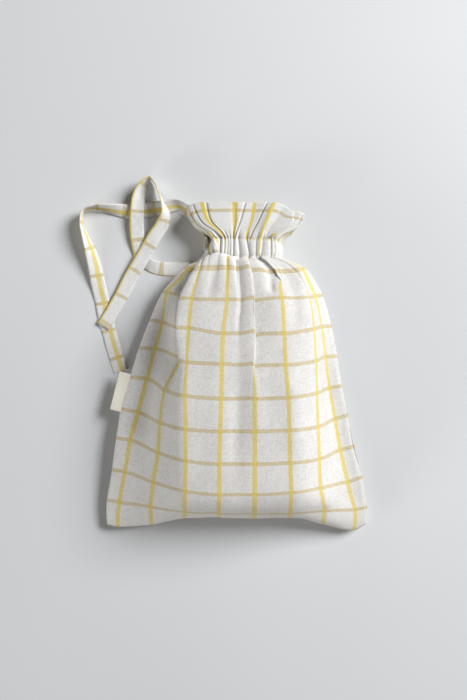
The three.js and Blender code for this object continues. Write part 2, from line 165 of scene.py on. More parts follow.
def tape_mesh(name, stations, line, creases, marks):
    """A flat tape along stations of place, width direction and width, a little crinkled: creases
    shifts the crinkles along it. At lengths along it, line says how far off its middle the yellow
    line runs, and marks how many cross lines have been passed."""
    centres = np.array([s[0] for s in stations])
    steps = np.linalg.norm(np.diff(centres, axis=0), axis=1)
    length = np.concatenate([[0], np.cumsum(steps)])
    half = np.linspace(-1, 1, 11)
    rows, cloth = [], []
    for i, (centre, across, width) in enumerate(stations):
        tangent = centres[min(i + 1, len(stations) - 1)] - centres[max(i - 1, 0)]
        tangent /= np.linalg.norm(tangent)
        across = across - across.dot(tangent) * tangent
        across /= np.linalg.norm(across)
        facing = np.cross(across, tangent)
        s = length[i]
        cup = 0.32 * math.sin(s / 17.0 + creases) + 0.2 * math.sin(s / 6.3 + 2 * creases)
        lift = cup * (0.5 - half**2) + 0.12 * np.sin(s / 2.9 + 4 * half + creases)
        body = tape_thickness / 2 * (1 - half**8) ** 0.5
        section = list(zip(half, lift, body))
        upper = [centre + across * (h * width / 2) + facing * (l + b) for h, l, b in section]
        under = [centre + across * (h * width / 2) + facing * (l - b) for h, l, b in section]
        rows.append(under[1:-1] + upper[::-1])
        places = [h * tape_width / 2 - np.interp(s, *line) for h in half]
        ring = places[1:-1] + places[::-1]
        cloth.append([(p, mark_spacing * np.interp(s, *marks)) for p in ring])
    tape = grid_mesh(name, np.array(rows), np.array(cloth), closed_across=True, capped=True)
    return tape, centres, length[-1]


def loose_tail(name, node, route, steps, line, creases, marks):
    """A tail of the tape along its route, squeezed by the gathers where it leaves the casing."""
    table = np.array(route, dtype=float)
    spans = len(table) - 1
    stations = []
    for k in range(steps + 1):
        share = k / steps
        centre = on_route(table[:, :3], share)
        i = min(int(share * spans), spans - 1)
        turn = table[i, 3:] + (share * spans - i) * (table[i + 1, 3:] - table[i, 3:])
        heading, lift = np.radians(turn)
        level = math.cos(lift)
        across = np.array([math.cos(heading) * level, math.sin(heading) * level, math.sin(lift)])
        width = squeezed_width + (tape_width - squeezed_width) * smooth(share * spans, 1, 5)
        stations.append((centre, across, width))
    tail, centres, length = tape_mesh(name, stations, line, creases, marks)
    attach(tail, "root")
    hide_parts(node)
    return tail


# At lengths along each tail: how far off its middle the yellow line runs, and how many cross lines
# have been passed
upper_line = ([0, 372], [-1.6, -1.6])
lower_line = ([0, 84, 100, 375], [-9.9, -9.4, -7.9, -7.9])
upper_marks = ([0, 107, 141, 230, 356, 372], [0.3, 3, 4, 7, 11, 11.5])
lower_marks = ([0, 38, 71, 118, 243, 340, 375], [0.1, 1, 2, 3, 7, 10, 11])
upper_tail = loose_tail(
    "upper_tail", "tie_upper", upper_route, steps=210, line=upper_line, creases=0.4, marks=upper_marks
)
lower_tail = loose_tail(
    "lower_tail", "tie_lower", lower_route, steps=240, line=lower_line, creases=1.9, marks=lower_marks
)


# Woven cloth
# The plain weave, used on every piece of cloth: threads that pass over and under, slubs that run
# along single threads, and pale and dark flecks where the fibre is uneven.
def new_group(name, inputs, outputs):
    """An empty shader node group with its named inputs and outputs."""
    group = bpy.data.node_groups.new(name, "ShaderNodeTree")
    for title, kind, value in inputs:
        socket = group.interface.new_socket(title, in_out="INPUT", socket_type=kind)
        if value is not None:
            socket.default_value = value
    for title, kind in outputs:
        group.interface.new_socket(title, in_out="OUTPUT", socket_type=kind)
    return group, group.nodes.new("NodeGroupInput"), group.nodes.new("NodeGroupOutput")


def wire(tree, value, socket):
    """Links another socket to this one, or sets this one to a plain value."""
    if hasattr(value, "links"):
        tree.links.new(value, socket)
    else:
        socket.default_value = value


def maths(tree, operation, *values):
    node = tree.nodes.new("ShaderNodeMath")
    node.operation = operation
    for value, socket in zip(values, node.inputs):
        wire(tree, value, socket)
    return node.outputs[0]


def ramp_between(tree, value, low, high, start=0.0, end=1.0):
    """From start, where the value is at low, to end, where it is at high, easing in and out."""
    node = tree.nodes.new("ShaderNodeMapRange")
    node.interpolation_type = "SMOOTHSTEP"
    settings = {"Value": value, "From Min": low, "From Max": high, "To Min": start, "To Max": end}
    for title, setting in settings.items():
        wire(tree, setting, node.inputs[title])
    return node.outputs["Result"]


def blend_colours(tree, share, first, second):
    """The first colour, turning into the second as the share goes from 0 to 1."""
    node = tree.nodes.new("ShaderNodeMix")
    node.data_type = "RGBA"
    wire(tree, share, node.inputs[0])
    wire(tree, first, node.inputs[6])
    wire(tree, second, node.inputs[7])
    return node.outputs[2]


def thread_noise(tree, u, v, u_scale, v_scale, detail, seed):
    """Unevenness drawn out along the threads: the lower a scale, the longer it runs that way."""
    joined = tree.nodes.new("ShaderNodeCombineXYZ")
    wire(tree, maths(tree, "MULTIPLY", u, u_scale), joined.inputs[0])
    wire(tree, maths(tree, "MULTIPLY", v, v_scale), joined.inputs[1])
    joined.inputs[2].default_value = seed
    noise = tree.nodes.new("ShaderNodeTexNoise")
    noise.inputs["Scale"].default_value = 1.0
    noise.inputs["Detail"].default_value = detail
    wire(tree, joined.outputs[0], noise.inputs["Vector"])
    return noise.outputs["Fac"]


weave, weave_in, weave_out = new_group(
    "plain_weave",
    [("Cloth", "NodeSocketVector", None)],
    [("Height", "NodeSocketFloat"), ("Dark Fleck", "NodeSocketFloat"),
     ("Pale Fleck", "NodeSocketFloat"), ("Shade", "NodeSocketFloat")],
)
parts = weave.nodes.new("ShaderNodeSeparateXYZ")
weave.links.new(weave_in.outputs["Cloth"], parts.inputs[0])
u, v = parts.outputs[0], parts.outputs[1]
thread_pair = 0.00062
thread_turn = 2 * math.pi / thread_pair
warp_wave = maths(weave, "SINE", maths(weave, "MULTIPLY", u, thread_turn))
weft_wave = maths(weave, "SINE", maths(weave, "MULTIPLY", v, thread_turn))
over = maths(weave, "MULTIPLY", warp_wave, weft_wave)
warp_slub = thread_noise(weave, u, v, 1250.0, 210.0, 2.0, 1.7)
weft_slub = thread_noise(weave, u, v, 210.0, 1250.0, 2.0, 5.3)
fibre = thread_noise(weave, u, v, 620.0, 620.0, 3.0, 9.1)
broad = thread_noise(weave, u, v, 38.0, 30.0, 2.0, 3.3)
slubs = maths(weave, "ADD", warp_slub, weft_slub)
height = maths(weave, "ADD", maths(weave, "MULTIPLY", over, 0.35), slubs)
weave.links.new(height, weave_out.inputs["Height"])
dark_warp = ramp_between(weave, warp_slub, 0.56, 0.7)
dark_weft = ramp_between(weave, weft_slub, 0.57, 0.72)
dark = maths(weave, "MAXIMUM", dark_warp, dark_weft)
dark = maths(weave, "MULTIPLY", dark, ramp_between(weave, fibre, 0.36, 0.62))
weave.links.new(dark, weave_out.inputs["Dark Fleck"])
pale_warp = ramp_between(weave, warp_slub, 0.46, 0.32)
pale_weft = ramp_between(weave, weft_slub, 0.45, 0.32)
pale = maths(weave, "MAXIMUM", pale_warp, pale_weft)
weave.links.new(pale, weave_out.inputs["Pale Fleck"])
weave.links.new(broad, weave_out.inputs["Shade"])

# The windowpane check, woven in: solid yellow warp lines and paler ochre weft rows of two threads
# each, so a row looks like a pair of fine lines.
yellow_spacing, ochre_spacing = 0.0365, 0.0345
yellow_half, ochre_half = 0.0024, 0.0020
check, check_in, check_out = new_group(
    "windowpane_check",
    [("Cloth", "NodeSocketVector", None), ("Yellow Spacing", "NodeSocketFloat", yellow_spacing),
     ("Yellow Start", "NodeSocketFloat", 0.0), ("Yellow Half", "NodeSocketFloat", yellow_half),
     ("Ochre Spacing", "NodeSocketFloat", ochre_spacing), ("Ochre Start", "NodeSocketFloat", 0.0),
     ("Ochre Half", "NodeSocketFloat", ochre_half)],
    [("Yellow", "NodeSocketFloat"), ("Ochre", "NodeSocketFloat")],
)
parts = check.nodes.new("ShaderNodeSeparateXYZ")
check.links.new(check_in.outputs["Cloth"], parts.inputs[0])
u, v = parts.outputs[0], parts.outputs[1]
ragged = thread_noise(check, u, v, 1500.0, 240.0, 1.0, 2.2)
ragged_row = thread_noise(check, u, v, 240.0, 1500.0, 1.0, 7.9)


def from_line(tree, place, start, spacing, wander):
    """Distance from the nearest line of the check, made uneven by the threads."""
    beyond = maths(tree, "SUBTRACT", place, start)
    count = maths(tree, "ROUND", maths(tree, "DIVIDE", beyond, spacing))
    nearest = maths(tree, "MULTIPLY", count, spacing)
    apart = maths(tree, "ABSOLUTE", maths(tree, "SUBTRACT", beyond, nearest))
    uneven = maths(tree, "MULTIPLY", maths(tree, "SUBTRACT", wander, 0.5), 0.0009)
    return maths(tree, "ADD", apart, uneven)


line_edge = 0.0003
settings = check_in.outputs
column = from_line(check, u, settings["Yellow Start"], settings["Yellow Spacing"], ragged)
solid = ramp_between(
    check, maths(check, "SUBTRACT", column, settings["Yellow Half"]), line_edge, -line_edge
)
column_tone = ramp_between(check, ragged_row, 0.2, 0.6, 0.78, 1.0)
yellow = maths(check, "MULTIPLY", solid, column_tone)
check.links.new(yellow, check_out.inputs["Yellow"])
row = from_line(check, v, settings["Ochre Start"], settings["Ochre Spacing"], ragged_row)
band = ramp_between(check, maths(check, "SUBTRACT", row, settings["Ochre Half"]), line_edge, -line_edge)
pair = ramp_between(check, row, 0.0001, 0.0006, 0.8, 1.0)
row_tone = ramp_between(check, ragged, 0.25, 0.65, 0.62, 1.0)
ochre = maths(check, "MULTIPLY", maths(check, "MULTIPLY", band, pair), row_tone)
check.links.new(ochre, check_out.inputs["Ochre"])


def check_cloth(name, yellow_start, ochre_start, yellow_step=yellow_spacing, filled=False):
    """Cotton and linen cloth in its natural pale grey, with the check woven into it. Where filled, the
    body of the bag up to the neck is a little darker and warmer: painted shade, standing in for less
    light on the body than on the header and the tape. In the header two layers make the yellow lines
    look wider, and the gathers swallow most of the row on the top stitch line."""
    material = bpy.data.materials.new(name)
    material.use_nodes = True
    tree = material.node_tree
    shader = tree.nodes["Principled BSDF"]
    cloth = tree.nodes.new("ShaderNodeUVMap")
    cloth.uv_map = "cloth"
    threads = tree.nodes.new("ShaderNodeGroup")
    threads.node_tree = weave
    lines = tree.nodes.new("ShaderNodeGroup")
    lines.node_tree = check
    tree.links.new(cloth.outputs[0], threads.inputs["Cloth"])
    tree.links.new(cloth.outputs[0], lines.inputs["Cloth"])
    lines.inputs["Yellow Start"].default_value = yellow_start
    lines.inputs["Yellow Spacing"].default_value = yellow_step
    lines.inputs["Ochre Start"].default_value = ochre_start
    shade = ramp_between(tree, threads.outputs["Shade"], 0.3, 0.7)
    ground = blend_colours(tree, shade, (0.78, 0.77, 0.755, 1), (0.825, 0.82, 0.805, 1))
    row_depth = maths(tree, "MULTIPLY", lines.outputs["Ochre"], 0.74)
    line_depth = maths(tree, "MULTIPLY", lines.outputs["Yellow"], 0.82)
    if filled:
        places = tree.nodes.new("ShaderNodeSeparateXYZ")
        tree.links.new(cloth.outputs[0], places.inputs[0])
        across_cloth, up_cloth = places.outputs[0], places.outputs[1]
        # Painted shade: a darker, warmer ground for the body below the neck, so it looks less lit than the
        # header and the tape
        darker = blend_colours(tree, shade, (0.705, 0.685, 0.655, 1), (0.745, 0.73, 0.705, 1))
        ground = blend_colours(tree, ramp_between(tree, up_cloth, 0.335, 0.285), ground, darker)
        wider = ramp_between(tree, up_cloth, 0.338, 0.346, yellow_half, 0.0037)
        tree.links.new(wider, lines.inputs["Yellow Half"])
        doubled = ramp_between(tree, up_cloth, 0.338, 0.346, 0.98, 1.12)
        line_depth = maths(tree, "MULTIPLY", line_depth, doubled)
        from_stitch = maths(tree, "ABSOLUTE", maths(tree, "SUBTRACT", up_cloth, 0.3405))
        sunk = ramp_between(tree, across_cloth, -0.01, 0.03, 0.9, 0.3)
        sunk = maths(tree, "MULTIPLY", sunk, ramp_between(tree, from_stitch, 0.004, 0.003))
        row_depth = maths(tree, "MULTIPLY", row_depth, maths(tree, "SUBTRACT", 1.0, sunk))
    pale = maths(tree, "MULTIPLY", threads.outputs["Pale Fleck"], 0.6)
    ground = blend_colours(tree, pale, ground, (0.86, 0.85, 0.835, 1))
    fleck = threads.outputs["Dark Fleck"]
    ground = blend_colours(tree, maths(tree, "MULTIPLY", fleck, 0.45), ground, (0.42, 0.385, 0.345, 1))
    ochre_dye = blend_colours(tree, fleck, (0.56, 0.42, 0.13, 1), (0.40, 0.29, 0.08, 1))
    ground = blend_colours(tree, row_depth, ground, ochre_dye)
    yellow_dye = blend_colours(tree, fleck, (0.76, 0.59, 0.085, 1), (0.60, 0.43, 0.05, 1))
    ground = blend_colours(tree, line_depth, ground, yellow_dye)
    tree.links.new(ground, shader.inputs["Base Color"])
    roughness = ramp_between(tree, threads.outputs["Height"], 0.5, 1.5, 0.95, 0.82)
    tree.links.new(roughness, shader.inputs["Roughness"])
    bump = tree.nodes.new("ShaderNodeBump")
    bump.inputs["Strength"].default_value = 0.55
    bump.inputs["Distance"].default_value = 0.00035
    tree.links.new(threads.outputs["Height"], bump.inputs["Height"])
    tree.links.new(bump.outputs[0], shader.inputs["Normal"])
    shader.inputs["Specular IOR Level"].default_value = 0.2
    shader.inputs["Sheen Weight"].default_value = 0.45
    shader.inputs["Sheen Roughness"].default_value = 0.55
    shader.inputs["Sheen Tint"].default_value = (1.0, 0.92, 0.80, 1)
    return material


# The tape has one yellow line along it, so the next one is set far off
tape_cloth = check_cloth("tape_cloth", 0.0, 0.0, yellow_step=0.5)
for tail in (upper_tail, lower_tail):
    tail.data.materials.append(tape_cloth)

# Front panel, casing and ruffle
# One piece of check cloth, 286 by 448 mm, from the bottom seam up over the filled body, through the
# gathered casing and on to the ruffle's top, where it turns in and runs down inside to the
# casing's lower stitch line. Places on it are in millimetres across its middle and up from the seam.
cloth_half = 143.0
outer_line = 127.75
line_places = np.array([-143, -outer_line, -91.25, -54.75, -18.25, 18.25, 54.75, 91.25, outer_line, 143])
foot_stitch, top_stitch, cloth_top = 321.0, 341.0, 385.0
cloth_thickness = 0.6

# Where the check's lines cross: place up the cloth, then x, y and z of the left seam, the eight
# yellow lines and the right seam
front_rows = {
    0: ([-143, -131, -93, -57, -19, 19, 59, 95, 130, 144],
        [-174, -176, -173, -165, -163, -163, -163, -172, -180, -174],
        [10, 12, 16, 21, 22, 22, 22, 18, 11, 8]),
    15: ([-144, -131, -93, -56, -19, 19, 58, 95, 131, 145],
        [-161, -163, -164, -161, -161, -161, -161, -166, -170, -165],
        [11, 14, 24, 35, 38, 38, 38, 28, 13, 10]),
    30: ([-143, -129, -93, -55, -19, 19, 57, 95, 130, 145],
        [-146, -148, -150, -153, -154, -154, -154, -154, -156, -154],
        [13, 16, 31, 48, 52, 52, 51, 36, 15, 12]),
    47: ([-140, -126, -91, -54.5, -18.5, 19, 57, 93, 126, 142],
        [-129, -131, -138, -143, -145, -145, -144, -143, -142, -138],
        [15, 18, 38, 60, 64, 64, 63, 45, 17, 14]),
    64.5: ([-137, -122, -89, -54, -18, 19, 57, 90, 122, 139],
        [-112, -114, -122, -128, -131, -131, -129, -127, -125, -120],
        [17, 20, 42, 66, 70, 70, 70, 50, 19, 16]),
    99: ([-132, -116, -84, -53, -18, 19, 56, 88, 114, 130],
        [-77, -79, -90, -96, -99, -99, -98, -96, -90, -86],
        [19, 21, 45, 68, 71, 71, 70, 52, 20, 17]),
    133.5: ([-127, -108, -82, -53, -17, 19, 55, 87, 108, 123],
        [-45, -49, -58, -63, -65, -65, -64, -62, -56, -52],
        [18, 18, 46, 69, 71, 71, 70, 51, 19, 17]),
    168: ([-117, -98, -77, -54, -16, 19, 54, 86, 102, 116],
        [-10, -12, -23, -28, -31, -31, -30, -26, -22, -20],
        [18, 19, 44, 68, 70, 70, 70, 52, 20, 18]),
    202.5: ([-107, -89, -63, -52, -15, 18, 51, 84, 97, 111],
        [22, 21, 12, 7, 5, 4, 4, 8, 12, 13],
        [18, 20, 42, 66, 69, 69, 68, 52, 24, 18]),
    237: ([-95, -81, -64, -50, -14, 17.5, 50, 82, 93, 105],
        [53, 50, 44, 43, 37, 37, 37, 42, 45, 46],
        [18, 21, 43, 61, 65, 65, 64, 50, 28, 18]),
    271.5: ([-81, -76, -59, -47, -10, 17, 48, 78, 85, 95],
        [84, 83, 78, 74, 73, 73, 75, 76, 78, 80],
        [18, 22, 35, 51, 57, 57, 56, 45, 30, 18]),
    290: ([-69, -63, -51, -43, -9.5, 15, 46, 71, 78, 86],
        [98, 96, 88, 90.5, 90.5, 90, 88, 89, 95, 97],
        [18, 22.5, 32, 46, 50, 50, 49, 40, 27, 18]),
    306: ([-57, -52, -43, -39, -9, 13, 43, 60, 72, 76],
        [111.5, 108, 101, 107, 107.5, 106.5, 104, 105, 107.5, 109.5],
        [18, 23, 29, 40, 43, 43, 41, 34, 28, 18]),
    314: ([-42, -39, -35, -34, -9, 12, 34, 48, 59, 62],
        [117, 117, 116, 118.5, 119, 116, 114.5, 115, 115.5, 116],
        [18, 23, 28, 36, 38, 38, 37, 33, 28, 18]),
    321: ([-28, -27.5, -25.5, -14, -3, 14, 24, 38, 46, 50],
        [121.7, 121.7, 121.7, 121.7, 121.7, 121.7, 121.7, 121.7, 121.7, 121.7],
        [18, 24, 28, 29, 29, 29, 29, 28, 24, 18]),
    341: ([-25, -25.5, -26.5, -13, -3, 11, 26, 38, 46, 50],
        [140, 140, 141, 141, 141, 141, 141, 140.5, 139, 137],
        [18, 22, 27, 29, 29, 29, 29, 28, 24, 18]),
    363: ([-40, -44, -45, -31, -1.5, 17, 33, 53, 64, 60],
        [154, 155, 158, 160.5, 161, 161, 161, 158, 152, 148],
        [17, 19, 25, 30, 30, 28.5, 31, 28, 22, 18]),
    385: ([-40, -49, -54, -37.5, -1.5, 20, 40.5, 65, 73, 69],
        [168, 168, 174, 180, 180, 180, 179.5, 172, 164, 159],
        [16, 17, 24, 30, 31, 28, 31, 28, 22, 18]),
}


def through(places, values, at):
    """Smooth curves through the values, without overshoot: one for each column of values."""
    places, values = np.asarray(places, float), np.asarray(values, float)
    gaps = np.diff(places)
    shape = (-1,) + (1,) * (values.ndim - 1)
    slopes = np.diff(values, axis=0) / gaps.reshape(shape)
    tangents = np.empty_like(values)
    before, after = slopes[:-1], slopes[1:]
    total = before + after
    same_way = before * after > 0
    inner = np.where(same_way, 2 * before * after / np.where(same_way, total, 1), 0)
    mean = np.minimum(abs(total) / 2, 2 * np.minimum(abs(before), abs(after)))
    tangents[1:-1] = 0.5 * inner + 0.5 * np.where(same_way, np.sign(total) * mean, 0)
    tangents[0], tangents[-1] = slopes[0], slopes[-1]
    i = np.clip(np.searchsorted(places, at, side="right") - 1, 0, len(places) - 2)
    t = ((at - places[i]) / gaps[i]).reshape(shape)
    h = gaps[i].reshape(shape)
    return (
        (2 * t**3 - 3 * t**2 + 1) * values[i] + (t**3 - 2 * t**2 + t) * h * tangents[i]
        + (-2 * t**3 + 3 * t**2) * values[i + 1] + (t**3 - t**2) * h * tangents[i + 1]
    )


def cloth_surface(rows, across, up):
    """Places of the cloth at every spot of the flat cloth, from the rows where its lines cross."""
    table = np.array([np.array(rows[key], float).T for key in rows])
    lines = through(np.array(list(rows), float), table, up)
    return through(line_places, lines.transpose(1, 0, 2), across).transpose(1, 0, 2)


def outward(points):
    """Unit normals of a grid whose rows run up the cloth and whose columns run to the right."""
    up = np.gradient(points, axis=0)
    right = np.gradient(points, axis=1)
    normal = np.cross(right, up)
    return normal / np.maximum(np.linalg.norm(normal, axis=2, keepdims=True), 1e-9)


# Valleys between the gathers, across the flat cloth. For the casing and for the top of the panel:
# how deep each valley is, and how far the cloth swells between it and the next.
valleys = np.array([
    -143, -128, -118, -109, -99, -91, -79, -64, -54.5, -42, -31, -20, -4, 18.5, 45, 63, 91.5, 103, 128, 143,
])
casing_valleys = np.array([
    0.8, 3.0, 1.6, 2.2, 1.8, 3.0, 2.8, 4.0, 2.6, 2.4, 0.8, 4.4, 4.6, 3.0, 0.9, 2.8, 3.4, 1.3, 3.2, 0.8,
])
casing_swells = np.array([
    0.5, 0.8, 1.0, 1.2, 0.9, 0.8, 0.6, 1.3, 0.8, 0.5, 0.8, 0.9, 0.2, 0.6, 0.9, 0.4, 0.5, 0.9, 0.4,
])
foot_valleys = np.array([
    0, 0.6, 0.6, 0.6, 0.5, 0.4, 0.3, 0.3, 0.4, 0.4, 0.6, 0.8, 2.2, 0.6, 1.9, 1.0, 1.2, 0.8, 0.8, 0,
])
foot_swells = np.array([
    0.2, 0.5, 0.5, 0.5, 0.4, 0.3, 0.3, 0.2, 0.3, 0.3, 0.4, 0.8, 0.8, 0.7, 0.9, 0.8, 0.7, 0.6, 0.3,
])


def gathers(across, depths, swells):
    """Sharp valleys of the given depths and rounded swells between them."""
    i = np.clip(np.searchsorted(valleys, across, side="right") - 1, 0, len(valleys) - 2)
    part = np.clip((across - valleys[i]) / (valleys[i + 1] - valleys[i]), 0, 1)
    return swells[i] * np.sin(np.pi * part) ** 0.7 - depths[i] * (1 - part) ** 6 - depths[i + 1] * part**6


def tuck(across, up, middle, reach, slide, lift):
    """A fold that laps over itself along the cloth: how far its cloth slides sideways and rises.
    With lift above 0 the right-hand side lies on top, and below 0 the left-hand side does. The
    layers under it sink out of its way."""
    s = np.clip((across[None, :] - middle) / reach, -1, 1)
    wave = s * (1 - s * s) ** 2 / 0.286
    below = (1 - s * s) * np.exp(-(((s + 0.35 * np.sign(lift)) / 0.4) ** 2))
    places = np.array([place for place, _ in slide], float)
    amounts = np.array([far for _, far in slide], float)
    amount = through(places, amounts, np.clip(up, places[0], places[-1]))[:, None]
    return -wave * amount, (wave * lift - below * abs(lift)) * amount


def crease(across, up, start, end, width, depth):
    """A soft valley or ridge along a straight line on the flat cloth."""
    a, b = np.array(start, float), np.array(end, float)
    way = b - a
    spots = np.stack(np.meshgrid(across, up), axis=2) - a
    along = (spots @ way) / way.dot(way)
    nearest = np.clip(along, 0, 1)[..., None] * way
    apart = np.linalg.norm(spots - nearest, axis=2)
    fade = smooth(along, -0.12, 0.2) * (1 - smooth(along, 0.75, 1.12))
    return depth * fade * np.exp(-((apart / width) ** 2))


def dents(across, up, seed, size, height):
    """Soft unevenness of cloth that has been folded and filled."""
    random = np.random.RandomState(seed)
    total = np.zeros((len(up), len(across)))
    waves = 14
    for _ in range(waves):
        turn = random.uniform(0, math.tau)
        pace = random.uniform(0.6, 1.7) / size
        phase = random.uniform(0, math.tau)
        along = across[None, :] * math.cos(turn) * 1.3 + up[:, None] * math.sin(turn) * 0.7
        total += np.sin(along * pace * math.tau + phase)
    return total / waves**0.5 * height


across = np.linspace(-cloth_half, cloth_half, 251)
up = np.concatenate([np.linspace(0, 262, 88)[:-1], np.linspace(262, cloth_top, 72)])
front = cloth_surface(front_rows, across, up)

# Beside the gathered shoulders the outermost lines lie flat, with the cloth between them tucked away
near_line = np.where(across < 0, across + outer_line, across - outer_line)
spread = 1.7 * near_line * np.exp(-((near_line / 5.5) ** 2))
widened = np.clip(across + spread, -cloth_half, cloth_half)
flatter = smooth(up, 250, 285) * (1 - smooth(up, 314, 321))
front += (cloth_surface(front_rows, widened, up) - front) * flatter[:, None, None]

# Tucks that the neck gathers: where each lies across the cloth and how wide it is, how far its cloth
# slides at places up the bag, how it lies over, and how much of the slide also runs up. Two are
# large: one down the left flank, which hangs over it, and one down the middle. The other three are
# short and lie on the right, two under the casing and one in the ruffle.
for middle, reach, slide, lift, step in (
    (-77, 22, [(160, 0), (190, 2), (205, 5), (237, 9), (271, 9), (300, 7), (314, 4), (321, 1), (341, 0)],
     0.15, 0),
    (17.5, 15, [(160, 0), (190, 2), (205, 5), (237, 7.4), (295, 7), (308, 5.5), (321, 0.5), (341, 0)],
     -0.1, 0.3),
    (58.5, 15, [(290, 0), (297, 3.5), (303, 6.5), (316, 6.0), (322, 0.8), (341, 0)], 0.17, 0),
    (93, 16, [(279, 0), (287, 2.5), (293, 4.5), (311, 5.0), (318, 1.6), (323, 0)], -0.15, 0),
    (92, 14, [(342, 0), (348, 6.4), (368, 7.2), (378, 2.6), (385, 0.6)], -0.14, 0),
):
    sideways, rise = tuck(across, up, middle, reach, slide, lift)
    front[..., 0] += sideways
    front[..., 1] += sideways * step
    front[..., 2] += rise

# The panel puffs up over the casing's foot on the left
puff = np.exp(-(((across + 34) / 15) ** 2))[None, :] * np.exp(-(((up - 314.5) / 4.5) ** 2))[:, None]
front[..., 1] += 5.0 * puff
front[..., 2] += 2.6 * puff

# The ruffle's right end hangs in a wave and turns under
turned_under = smooth(up, 345, 362) * (1 - 0.6 * smooth(up, 366, 385))
front[..., 0] += 7.5 * np.exp(-(((across - 113) / 9) ** 2))[None, :] * turned_under[:, None]
front[..., 1] -= 3.6 * np.exp(-(((across - 83) / 9) ** 2))[None, :] * smooth(up, 345, 370)[:, None]

# Gathers: tight in the casing between its two stitch lines, and dying out soon beyond them
in_casing = through(
    [300, 313, 321, 331, 341, 347, 356], [0, 0.15, 0.62, 1, 0.66, 0.3, 0], np.clip(up, 300, 356)
)
at_foot = through([276, 300, 313, 321], [0, 0.55, 1, 0.4], np.clip(up, 276, 321))
at_foot = at_foot * (1 - smooth(up, 321, 328))
pleats = (
    gathers(across, casing_valleys, casing_swells)[None, :] * in_casing[:, None]
    + gathers(across, foot_valleys, foot_swells)[None, :] * at_foot[:, None]
)

# Just above the top stitch line the cloth bulges between the gathers and hangs over the line, and
# along both lines it is pinched
swelling = gathers(across, casing_valleys * 0, casing_swells * 0 + 1)
over_stitch = np.exp(-(((up - top_stitch - 5) / 2.8) ** 2))[:, None] * swelling[None, :]
over_stitch = over_stitch * (abs(across) < 128)
front[..., 1] -= 1.4 * over_stitch
pleats += 0.4 * over_stitch
stitch_pinch = np.exp(-(((up - foot_stitch) / 2.0) ** 2))
stitch_pinch = stitch_pinch + 0.6 * np.exp(-(((up - top_stitch) / 1.8) ** 2))
pleats -= 1.3 * stitch_pinch[:, None]

# Soft creases that run from the neck down the body and up the ruffle, and dents all over the body
soft = 0
for start, end, width, depth in (
    ((-34, 312), (-36, 272), 5, -1.7),
    ((2, 316), (0, 235), 4.0, -1.7),
    ((3, 240), (-2, 95), 8, -1.7),
    ((8, 312), (7.5, 200), 4.0, 0.9),
    ((15, 250), (24, 110), 9, 1.4),
    ((44, 312), (43, 278), 4, -1.6),
    ((-62, 305), (-58, 250), 5, 1.0),
    ((72, 312), (68, 240), 7, -1.5),
    ((108, 312), (106, 230), 6, 1.2),
    ((-51, 338), (-49, 390), 1.5, -1.9),
    ((-16, 338), (2, 392), 1.7, -2.2),
    ((-19, 338), (-19, 388), 4, -1.2),
    ((26, 338), (45, 392), 1.5, -2.4),
    ((54, 341), (54, 388), 5, 1.0),
    ((-83, 338), (-85, 386), 1.7, -1.0),
    ((-66, 338), (-71, 386), 1.4, -2.0),
    ((70, 342), (72, 388), 5, -1.6),
    ((84, 344), (85, 388), 4, 1.2),
    ((104, 340), (110, 388), 2, -1.2),
):
    soft = soft + crease(across, up, start, end, width, depth)
body = 1 - smooth(up, 255, 300)[:, None]
soft = soft + body * (dents(across, up, 3, 75, 0.5) + dents(across, up, 8, 34, 0.2))
from_side = cloth_half - abs(across)
edge_fade = smooth(from_side, 0, 9)[None, :]
above_seam = smooth(up, 0, 14)[:, None]
soft = soft * above_seam
normals = outward(front)
front = front + normals * ((pleats + soft) * edge_fade)[..., None]

# At the side seams the cloth rolls over to meet the back, and the ruffle's sides are left open.
# The front lies just clear of the back.
roll = 1.5 * np.clip(from_side / 4.0, 0, 1) ** 0.5
rolled = (1 - smooth(up, 310, 321)) * np.clip(up / 5, 0, 1) ** 0.5
front[..., 2] += roll[None, :] * rolled[:, None]
clearance = 0.5
front[..., 2] += clearance

# Along the bottom seam the two panels meet edge to edge
closing = 0.55
meeting = (1 - smooth(up, 0, 5))[:, None] * smooth(from_side, 12, 45)[None, :]
front[..., 2] -= closing * meeting


def parted(up):
    """How far the casing's two layers part between its stitch lines, from 0 to 1."""
    return np.sin(np.pi * np.clip((up - foot_stitch) / (top_stitch - foot_stitch), 0, 1)) ** 0.5


def turned_in(outer, up, across):
    """The cloth with its top folded over and run down inside, parting round the drawstring."""
    normals = outward(outer)
    inside = np.flatnonzero(up >= foot_stitch - 0.5)[::-1][::2]
    folds = gathers(across, casing_valleys, casing_swells)[None, :]
    depth = 1.5 + parted(up[inside])[:, None] * (5.2 + 0.8 * folds)
    facing = outer[inside] - normals[inside] * depth[..., None]
    outer = outer + normals * (1.3 * parted(up)[:, None, None])
    rim = (outer[-1] + facing[0]) / 2 + np.array([0, 0.6, 0])
    points = np.concatenate([outer, rim[None], facing[1:]])
    places = np.concatenate([up, [cloth_top + 0.8], 2 * cloth_top - up[inside[1:]]])
    cloth = np.stack(np.meshgrid(across, places), axis=2)
    return points, cloth


def thicken(piece, thickness):
    """Gives the cloth its thickness, inwards from the face that shows."""
    bpy.ops.object.select_all(action="DESELECT")
    bpy.context.view_layer.objects.active = piece
    piece.select_set(True)
    solid = piece.modifiers.new("thickness", "SOLIDIFY")
    solid.thickness = thickness * MM
    solid.offset = -1
    bpy.ops.object.modifier_apply(modifier=solid.name)


points, cloth = turned_in(front, up, across)
front_cloth = grid_mesh("front_cloth", points, cloth)
front_cloth.data.materials.append(check_cloth("front_check", 0.01825, 0.030, filled=True))
thicken(front_cloth, cloth_thickness)
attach(front_cloth, "root")
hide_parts("front_panel", "front_casing", "front_ruffle")

